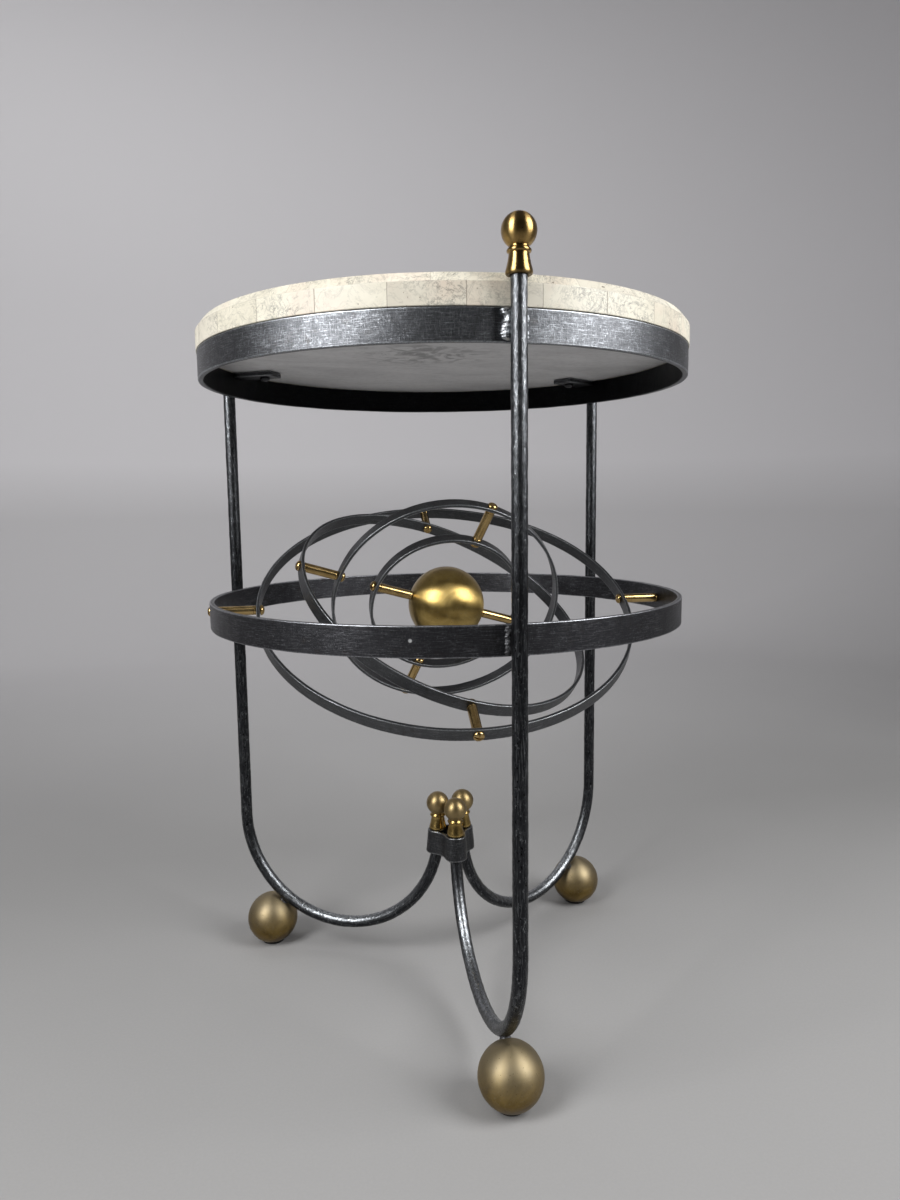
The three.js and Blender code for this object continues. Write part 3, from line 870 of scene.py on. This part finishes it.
def foot_mesh(layout):
    base = PAD_THICKNESS + GAP
    start = degrees(asin((base - FOOT_R) / FOOT_R))
    ball = arc((0, FOOT_R), FOOT_R, start, 90, 60)
    outline = [(0, base), (ball[0][0] - 0.6, base), *ball[:-1], (0, 2 * FOOT_R)]
    # Painted reflection: the upper half of the ball is dulled and greyer, as if reflecting the grey
    # backdrop.
    dull_and_painted_light = [ramp(z, 22, 48) for _, z in outline]
    mesh = lathe("foot_ball", outline, 96, False, {"dull_and_painted_light": dull_and_painted_light})
    placed(mesh, AXIS @ Matrix.Translation(layout["foot"]) @ turned("Z", layout["heading"]))
    return mesh


def pad_mesh(layout):
    corners = [(0, 0, 0), (PAD_R, 0, 0.5), (PAD_R, PAD_THICKNESS, 0.5), (0, PAD_THICKNESS, 0)]
    mesh = lathe("foot_pad", rounded(corners, closed=False, longest=2), 64)
    return placed(mesh, AXIS @ Matrix.Translation(layout["foot"]))


FINIAL_LIP = ((8.7, 0.0), (9.5, 0.25), (10.0, 0.9), (10.2, 1.8), (10.1, 2.8))
FINIAL_BEAD = (
    (7.6, 15.2), (8.3, 15.5), (8.9, 16.0), (9.15, 16.8), (9.0, 17.6), (8.4, 18.3), (7.75, 18.9), (7.45, 19.6)
)


def finial_mesh(scale, satin_ball):
    """A base with a rounded lip and a dished waist, a bead, and a ball, on Z = 0."""
    ball_start = degrees(asin((20.2 - FINIAL_BALL_Z) / FINIAL_BALL_R))
    shares = (0.08, 0.25, 0.45, 0.65, 0.85, 1)
    waist = [(10.05 - 2.5 * t - 0.25 * sin(pi * t), 3.2 + 11.6 * t) for t in shares]
    outline = [
        (0, FINIAL_SOCKET_DEPTH / scale),
        (ROD_R + GAP, FINIAL_SOCKET_DEPTH / scale),
        (ROD_R + GAP, 0.5),
        (ROD_R + GAP + 0.5, 0.0),
        *FINIAL_LIP,
        *waist,
        *FINIAL_BEAD,
        *arc((0, FINIAL_BALL_Z), FINIAL_BALL_R, ball_start, 90, 40)[:-1],
        (0, FINIAL_BALL_Z + FINIAL_BALL_R),
    ]
    dull_from = (18, 21) if satin_ball else (2.5, 0)
    dull_and_painted_light = [ramp(z, *dull_from) for _, z in outline]
    mesh = lathe("finial", outline, 64, False, {"dull_and_painted_light": dull_and_painted_light})
    mesh.transform(Matrix.Diagonal((scale, scale, scale, 1)))
    return mesh


LEGS = {side: {**leg_layout(azimuth), "azimuth": azimuth} for side, azimuth in LEG_AZIMUTHS.items()}

for number, (side, layout) in enumerate(LEGS.items()):
    bar = leg_mesh(f"leg_bar_{side}", layout, 4 + number)
    piece(f"leg_bar_{side}", bar, ROUND_IRON, "frame", "iron", f"leg_{side}")
    piece(f"brass_foot_{side}", foot_mesh(layout), FOOT_BRASS, "frame", "brass", f"foot_ball_{side}")
    piece(f"rubber_pad_{side}", pad_mesh(layout), RUBBER, "frame", "rubber", f"foot_pad_{side}")
    rod_end = layout["rod"] + Vector((0, 0, ROD_TOP_Z))
    top_finial = placed(finial_mesh(1.0, False), AXIS @ Matrix.Translation(rod_end))
    piece(f"top_finial_{side}", top_finial, FINIAL_BRASS, "frame", "brass", f"rod_finial_{side}")
    seat = layout["lobe"] + Vector((0, 0, COLLAR_TOP_Z + GAP))
    low_finial = placed(finial_mesh(HUB_FINIAL_SCALE, True), AXIS @ Matrix.Translation(seat))
    piece(f"low_finial_{side}", low_finial, HUB_BRASS, "frame", "brass", f"hub_finial_{side}")


# ------------ the hub


def collar_outline(inset):
    """Three lobes joined by dished webs, shrunk by `inset`."""
    lobe_r = COLLAR_LOBE_R - inset
    rise = HUB_CIRCLE_R ** 2 + COLLAR_WEB_R ** 2 - HUB_CIRCLE_R * COLLAR_WEB_R - COLLAR_LOBE_R ** 2
    web_r = rise / (2 * COLLAR_LOBE_R + HUB_CIRCLE_R - 2 * COLLAR_WEB_R)
    points = []
    for azimuth in LEG_AZIMUTHS.values():
        lobe = polar(HUB_CIRCLE_R, azimuth)
        web = polar(COLLAR_WEB_R + web_r, azimuth + 60)
        between = web - lobe
        half = (degrees(atan2(between.y, between.x)) - azimuth) % 360
        points += arc((lobe.x, lobe.y), lobe_r, azimuth - half, azimuth + half, 30)[:-1]
        start = azimuth + half + 180
        end = 2 * (azimuth + 60) + 180 - (azimuth + half)
        points += arc((web.x, web.y), web_r + inset, start, end, 14)[:-1]
    return points


def collar_mesh():
    low = COLLAR_TOP_Z - COLLAR_HEIGHT
    corners = [
        (0, low, 1.5),
        (0, COLLAR_TOP_Z, 0.9),
        (-COLLAR_WALL, COLLAR_TOP_Z, 0.7),
        (-COLLAR_WALL, low, 0.7),
    ]
    profile = rounded(corners, steps=4, longest=2.5)
    rows = []
    along = [0.0]
    for i, (depth, z, _) in enumerate(profile):
        spread = 1 + COLLAR_FLARE * (1 - (z - low) / COLLAR_HEIGHT)
        rows.append([Vector((x * spread + HUB_X, y * spread, z)) for x, y in collar_outline(-depth)])
        after = profile[(i + 1) % len(profile)]
        along.append(along[-1] + MM * hypot(after[0] - depth, after[1] - z))
    across = [0.0]
    for j, point in enumerate(rows[0]):
        across.append(across[-1] + MM * (rows[0][(j + 1) % len(rows[0])] - point).length)
    marks = {
        "edge": [point[2] for point in profile],
        # Marks the inner faces, which get painted shade.
        "painted_shade_inside": [1.0 if point[0] < -0.8 * COLLAR_WALL else 0.0 for point in profile],
    }
    mesh = placed(skin("collar", rows, along, across, True, marks), AXIS)
    roughened(mesh, 0.35, 9, 11)
    return roughened(mesh, 0.08, 3, 12)


piece("forged_hub_collar", collar_mesh(), COLLAR_IRON, "frame", "iron", "hub_collar")


# ------------ the screws


def screw_mesh(shank):
    """A slotted dome head above Z = 0 with its shank below."""
    rim = 0.9
    dome_height = HEAD_HEIGHT - rim
    dome = [(HEAD_R * x / dome_height, z) for x, z in arc((0, rim), dome_height, 2, 88, 14)]
    outline = [
        (0, -shank),
        (SHANK_R - 0.4, -shank),
        (SHANK_R, -shank + 0.4),
        (SHANK_R, 0),
        (HEAD_R - 0.35, 0),
        (HEAD_R, 0.35),
        *dome,
        (0, HEAD_HEIGHT),
    ]
    low = HEAD_HEIGHT - SLOT_DEPTH
    high = HEAD_HEIGHT + SLOT_DEPTH
    corners = [(-2 * HEAD_R, -0.7), (2 * HEAD_R, -0.7), (2 * HEAD_R, 0.7), (-2 * HEAD_R, 0.7)]
    rows = [[Vector((x, y, z)) for x, y in corners] for z in (low, high)]
    rows = [[Vector((0, 0, low))], *rows, [Vector((0, 0, high))]]
    tool = skin("slot", rows, [0, 1, 2, 3], [0, 1, 2, 3, 4])
    return cut(lathe("screw", outline, 40), [tool])


SCREWS = {}


def screw(shank):
    """A copy of the screw with that shank, its slot turned at random."""
    key = round(shank, 3)
    if key not in SCREWS:
        SCREWS[key] = screw_mesh(shank)
    return placed(SCREWS[key].copy(), turned("Z", RANDOM.uniform(0, 180)))


# ------------ the tabs


def tab_mesh(length, width, height):
    """A short flat bar from X = 0, with rounded edges."""
    half = width / 2
    corners = [(-half, -height, 0.9), (half, -height, 0.9), (half, 0, 0.9), (-half, 0, 0.9)]
    profile = rounded(corners, steps=3, longest=3)
    middle = [1.6 + (length - 3.2) * i / 10 for i in range(1, 10)]
    stations = [0.0, 0.5, 1.6, *middle, length - 1.6, length - 0.5, length]
    rows = []
    for x in stations:
        ends = min(x, length - x)
        shrink = 1 - (0.08 if ends < 0.1 else 0.03 if ends < 0.6 else 0)
        outline = [(y * shrink, (z + height / 2) * shrink - height / 2) for y, z, _ in profile]
        rows.append([Vector((x, y, z)) for y, z in outline])
    rows = [[Vector((0, 0, -height / 2))], *rows, [Vector((length, 0, -height / 2))]]
    along = [0.0, *[MM * x for x in stations], MM * length, MM * length]
    across = [MM * 2 * (width + height) * j / len(profile) for j in range(len(profile) + 1)]
    edges = [0.0, *[[point[2] for point in profile]] * len(stations), 0.0]
    painted_shade_inside = [0.6] * len(rows)
    mesh = skin("tab", rows, along, across, False, {"edge": edges, "painted_shade_inside": painted_shade_inside})
    return roughened(mesh, 0.25, 6, 13)


TAB_TOP_Z = STONE_BOTTOM_Z - GAP
TAB_OUTER_R = flat_radius(TOP_RING_R - TOP_RING_WALL, 64) - 1

for side, layout in LEGS.items():
    outward = AXIS @ turned("Z", layout["azimuth"])
    seat = outward @ Matrix.Translation((TAB_INNER_R, 0, TAB_TOP_Z))
    tab = placed(tab_mesh(TAB_OUTER_R - TAB_INNER_R, INCH, TAB_THICKNESS), seat)
    piece(f"hold_down_tab_{side}", tab, HOOP_IRON, "frame", "iron", f"top_tab_{side}")
    head = outward @ Matrix.Translation((TAB_SCREW_R, 0, TAB_TOP_Z - TAB_THICKNESS - GAP))
    tab_screw = placed(screw(TAB_THICKNESS + 2 * GAP + TAB_SCREW_BITE), head @ turned("X", 180))
    piece(f"hold_down_screw_{side}", tab_screw, COLLAR_IRON, "frame", "iron", f"tab_screw_{side}")


# ------------ the welds


def bead_mesh(name, centre, low, high, width, depth, seed, ragged):
    """A ragged run of weld up Z, thicker and thinner as it goes, with a few spills to the side."""
    count = 24
    steps = 60
    rows = []
    for i in range(1, steps):
        t = i / steps
        z = low + (high - low) * t
        taper = min(1.0, sin(pi * t) * 3.5) ** 0.6
        swell = 1 + 0.55 * noise.noise(Vector((seed, 0, z / 5.5)))
        swell += 0.3 * noise.noise(Vector((0, seed, z / 1.7)))
        drift = 0.9 * noise.noise(Vector((seed * 2, 3, z / 4)))
        row = []
        for j in range(count):
            angle = 2 * pi * j / count
            x = centre.x + width * taper * swell * cos(angle) + drift
            y = centre.y + depth * taper * (0.6 + 0.4 * swell) * sin(angle)
            row.append(Vector((x, y, z)))
        rows.append(row)
    rows = [[Vector((centre.x, centre.y, low))], *rows, [Vector((centre.x, centre.y, high))]]
    along = [MM * (high - low) * i / steps for i in range(steps + 2)]
    across = [MM * 2 * pi * width * j / count for j in range(count + 1)]
    mesh = skin(name, rows, along, across)
    roughened(mesh, 0.9 * ragged, 2.6, seed)
    return roughened(mesh, 0.35 * ragged, 0.9, seed + 1)


def add_welds(ring_name, ring_r, middle_z, size, ragged, look):
    """Two beads at each place where a rod passes a ring."""
    half = RING_HEIGHT / 2
    for number, (side, layout) in enumerate(LEGS.items()):
        for hand, across, width in (("l", -6.9, 4.3), ("r", 6.4, 2.9)):
            seed = number * 5 + across + ring_r / 10
            centre = Vector((across * (0.75 + 0.25 * size), -(ring_r + 1.6), 0))
            low = middle_z - half + 0.6
            high = middle_z + half - 0.2
            bead = bead_mesh("weld", centre, low, high, width * size, 2.8 * size, seed, ragged)
            placed(bead, AXIS @ turned("Z", layout["azimuth"] + 90))
            piece(f"weld_{ring_name}_{side}_{hand}", bead, look, "frame", "iron", sharp=70)


def add_foot_weld(side, layout):
    """A small collar of weld where a ball foot meets the bend."""
    centre = layout["lobe"] + polar(layout["bend_r"], layout["heading"], layout["bend_z"])
    foot = layout["foot"] + Vector((0, 0, FOOT_R))
    towards = (centre - foot).normalized()
    outline = [(0, -1.2), (5.4, -1.2), (5.3, -0.3), (4.7, 0.6), (4.9, 1.6), (5.2, 2.4), (0, 2.8)]
    mesh = lathe("foot_weld", outline, 48)
    roughened(mesh, 0.5, 2.2, 51 + layout["azimuth"])
    tilt = towards.to_track_quat("Z", "X").to_matrix().to_4x4()
    placed(mesh, AXIS @ (Matrix.Translation(foot + towards * FOOT_R) @ tilt))
    piece(f"weld_foot_{side}", mesh, DARK_WELD, "frame", "iron", sharp=70)


add_welds("top", TOP_RING_R, TOP_RING_UPPER_Z - RING_HEIGHT / 2, 1.0, 1.0, WELD)
add_welds("middle", MIDDLE_RING_R, ORRERY_Z, 0.75, 0.45, DARK_WELD)
for side, layout in LEGS.items():
    add_foot_weld(side, layout)


# ------------ the orrery


def spacer_mesh(start, end):
    """A turned sleeve along X with a shallow groove near each end."""
    half = [
        (HOLE_R, 0),
        (SPACER_R - 0.45, 0),
        (SPACER_R, 0.45),
        (SPACER_R, 2.0),
        (SPACER_R - 0.25, 2.25),
        (SPACER_R, 2.5),
    ]
    corners = [(x, start + z) for x, z in half]
    corners.append((SPACER_R, (start + end) / 2))
    corners += [(x, end - z) for x, z in reversed(half)]
    # Painted shade: the sleeve's end faces and chamfers are darkened where they meet the hoops and the
    # globe.
    dull_and_painted_light = [1.0 if min(z - start, end - z) < 0.3 else 0.0 for _, z in corners]
    mesh = lathe("spacer", corners, 40, True, {"dull_and_painted_light": dull_and_painted_light})
    return placed(mesh, turned("Y", 90))


def add_pivot(matrix, body, name, azimuth, outer, inner):
    """The two like ends of a pivot, each a sleeve with a screw at its outer and inner end."""
    start = inner["outer_r"] + GAP
    end = outer["inner_flat"] - GAP
    screws = [("outer", outer["outer_flat"] + GAP, end, 90)]
    if "inner_flat" in inner:
        screws.append(("inner", inner["inner_flat"] - GAP, start, -90))
    for letter, turn in (("a", azimuth), ("b", azimuth + 180)):
        place = matrix @ turned("Z", turn)
        sleeve = placed(spacer_mesh(start, end), place)
        node = f"{name}_spacer_{letter}"
        piece(f"{name}_sleeve_{letter}", sleeve, PIVOT_BRASS, body, "polished_brass", node)
        for side, head, seat, tilt in screws:
            pin = screw(abs(head - seat) + SCREW_BITE)
            placed(pin, place @ Matrix.Translation((head, 0, 0)) @ turned("Y", tilt))
            label = f"{name}_{side}_head_{letter}"
            node = f"{name}_{side}_screw_{letter}"
            piece(label, pin, PIVOT_BRASS, body, "polished_brass", node, sharp=30)


def globe_mesh():
    """A hollow ball with its axle holes on the X axis."""
    hole = degrees(acos(HOLE_R / GLOBE_R))
    inner_r = GLOBE_R - GLOBE_WALL
    inner_hole = degrees(acos(HOLE_R / inner_r))
    outline = arc((0, 0), GLOBE_R, -hole, hole, 90)
    outline += arc((0, 0), inner_r, inner_hole, -inner_hole, 40)
    mesh = lathe("globe", outline, 128, True, {"dull_and_painted_light": [0.0] * len(outline)})
    return placed(mesh, turned("Y", 90))


def axle_mesh():
    half = GLOBE_R + SCREW_BITE
    corners = [(0, -half, 0), (SHANK_R, -half, 0.4), (SHANK_R, half, 0.4), (0, half, 0)]
    mesh = lathe("axle", rounded(corners, closed=False, longest=12), 32)
    return placed(mesh, turned("Y", 90))


place = Matrix.Translation((0, AXIS_Y, ORRERY_Z)) @ turned("Z", HEADING)
middle_ring = ring_mesh("middle_ring", MIDDLE_RING_R, MIDDLE_RING_WALL, RING_HEIGHT, 360, 21, (0, 180))
placed(middle_ring, place)
piece("middle_ring_bar", middle_ring, MIDDLE_RING_IRON, "frame", "iron", "middle_ring")

body = "frame"
carrier = {
    "outer_flat": flat_radius(MIDDLE_RING_R, 64),
    "inner_flat": flat_radius(MIDDLE_RING_R - MIDDLE_RING_WALL, 64),
}
for number, (name, radius, sides, turn) in enumerate(HOOPS):
    along_x = number % 2 == 0
    hoop_place = place @ turned("X" if along_x else "Y", turn)
    outer_r = radius + HOOP_WALL / 2
    label = f"{name}_hoop"
    holes = (0, 90, 180, 270)
    hoop = ring_mesh(label, outer_r, HOOP_WALL, HOOP_WIDTH, 300, 31 + number, holes, wobble=0.15)
    piece(f"{label}_bar", placed(hoop, hoop_place), HOOP_IRON, label, "iron", label)
    ring = {
        "outer_r": outer_r,
        "outer_flat": flat_radius(outer_r, sides),
        "inner_flat": flat_radius(outer_r - HOOP_WALL, sides),
    }
    add_pivot(place, body, label, 0 if along_x else 90, carrier, ring)
    place = hoop_place
    body = label
    carrier = ring

piece("brass_globe", placed(globe_mesh(), place), GLOBE_BRASS, "globe", "brass", "globe")
add_pivot(place, body, "globe", 0, carrier, {"outer_r": GLOBE_R})
piece("globe_pin", placed(axle_mesh(), place), PIVOT_BRASS, body, "polished_brass", "globe_axle")


# ------------ floor, lights and camera

VIEW_TURN = turned("Z", -13)


def seen(x, y, z):
    """A place in metres from the table's axis, X to the camera's right and Y away from it."""
    return AXIS_Y * MM * Vector((0, 1, 0)) + VIEW_TURN @ Vector((x, y, z))


def floor_mesh():
    """A level floor that curves up into a plain wall all round."""
    outline = [(400 * i, 0) for i in range(6)]
    outline += arc((2000, 1500), 1500, -90, 0, 24)[1:]
    outline += [(3500, 2500), (3500, 4500)]
    mesh = lathe("floor", outline, 128)
    mesh.flip_normals()
    return mesh


floor = shown("floor", floor_mesh())
floor.data.materials.append(FLOOR)
floor.data.polygons.foreach_set("use_smooth", [True] * len(floor.data.polygons))


def softbox(name, place, target, width, height, power):
    """A rectangular light of that size in metres and power in watts, aimed at `target`."""
    data = bpy.data.lights.new(name, "AREA")
    data.shape = "RECTANGLE"
    data.size = width
    data.size_y = height
    data.energy = power
    lamp = shown(name, data)
    lamp.location = place
    lamp.rotation_euler = (target - place).to_track_quat("-Z", "Y").to_euler()
    return lamp


softbox("left_softbox", seen(-1.04, -0.98, 1.3), seen(0, 0, 0.55), width=0.65, height=1.2, power=37)
softbox("right_softbox", seen(1.24, -0.62, 1.3), seen(0, 0, 0.55), width=0.85, height=1.2, power=38)
overhead = softbox("front_overhead", seen(-0.1, -0.9, 2.6), seen(0, 0, 0.4), width=0.9, height=0.9, power=6)
overhead.visible_glossy = False
softbox("wall_wash", seen(-0.8, 1.2, 2.6), seen(-0.75, 3.4, 0.9), width=2.2, height=1.0, power=31)

world = bpy.data.worlds.new("studio")
world.use_nodes = True
background = world.node_tree.nodes["Background"]
background.inputs["Color"].default_value = (0.62, 0.63, 0.65, 1)
background.inputs["Strength"].default_value = 0.12
SCENE.world = world
SCENE.view_settings.view_transform = "Standard"

CAMERA_DISTANCE = 0.86181
CAMERA_HEIGHT = 0.51298
PITCH = radians(6.80)
PAN = radians(0.27)
ROLL = radians(-0.698)
LENS = 24.75
SENSOR_WIDTH = 36

forward = Vector((sin(PAN) * cos(PITCH), cos(PAN) * cos(PITCH), -sin(PITCH)))
level = Vector((cos(PAN), -sin(PAN), 0))
upright = level.cross(forward)
right = level * cos(ROLL) + upright * sin(ROLL)
up = upright * cos(ROLL) - level * sin(ROLL)
aim = Matrix((right, up, -forward)).transposed().to_4x4()

camera_data = bpy.data.cameras.new("camera")
camera_data.sensor_width = SENSOR_WIDTH
camera_data.lens = LENS
camera_data.clip_start = 0.01
camera = shown("camera", camera_data)
camera.matrix_world = Matrix.Translation(seen(0, -CAMERA_DISTANCE, CAMERA_HEIGHT)) @ VIEW_TURN @ aim
SCENE.camera = camera

bpy.context.view_layer.update()
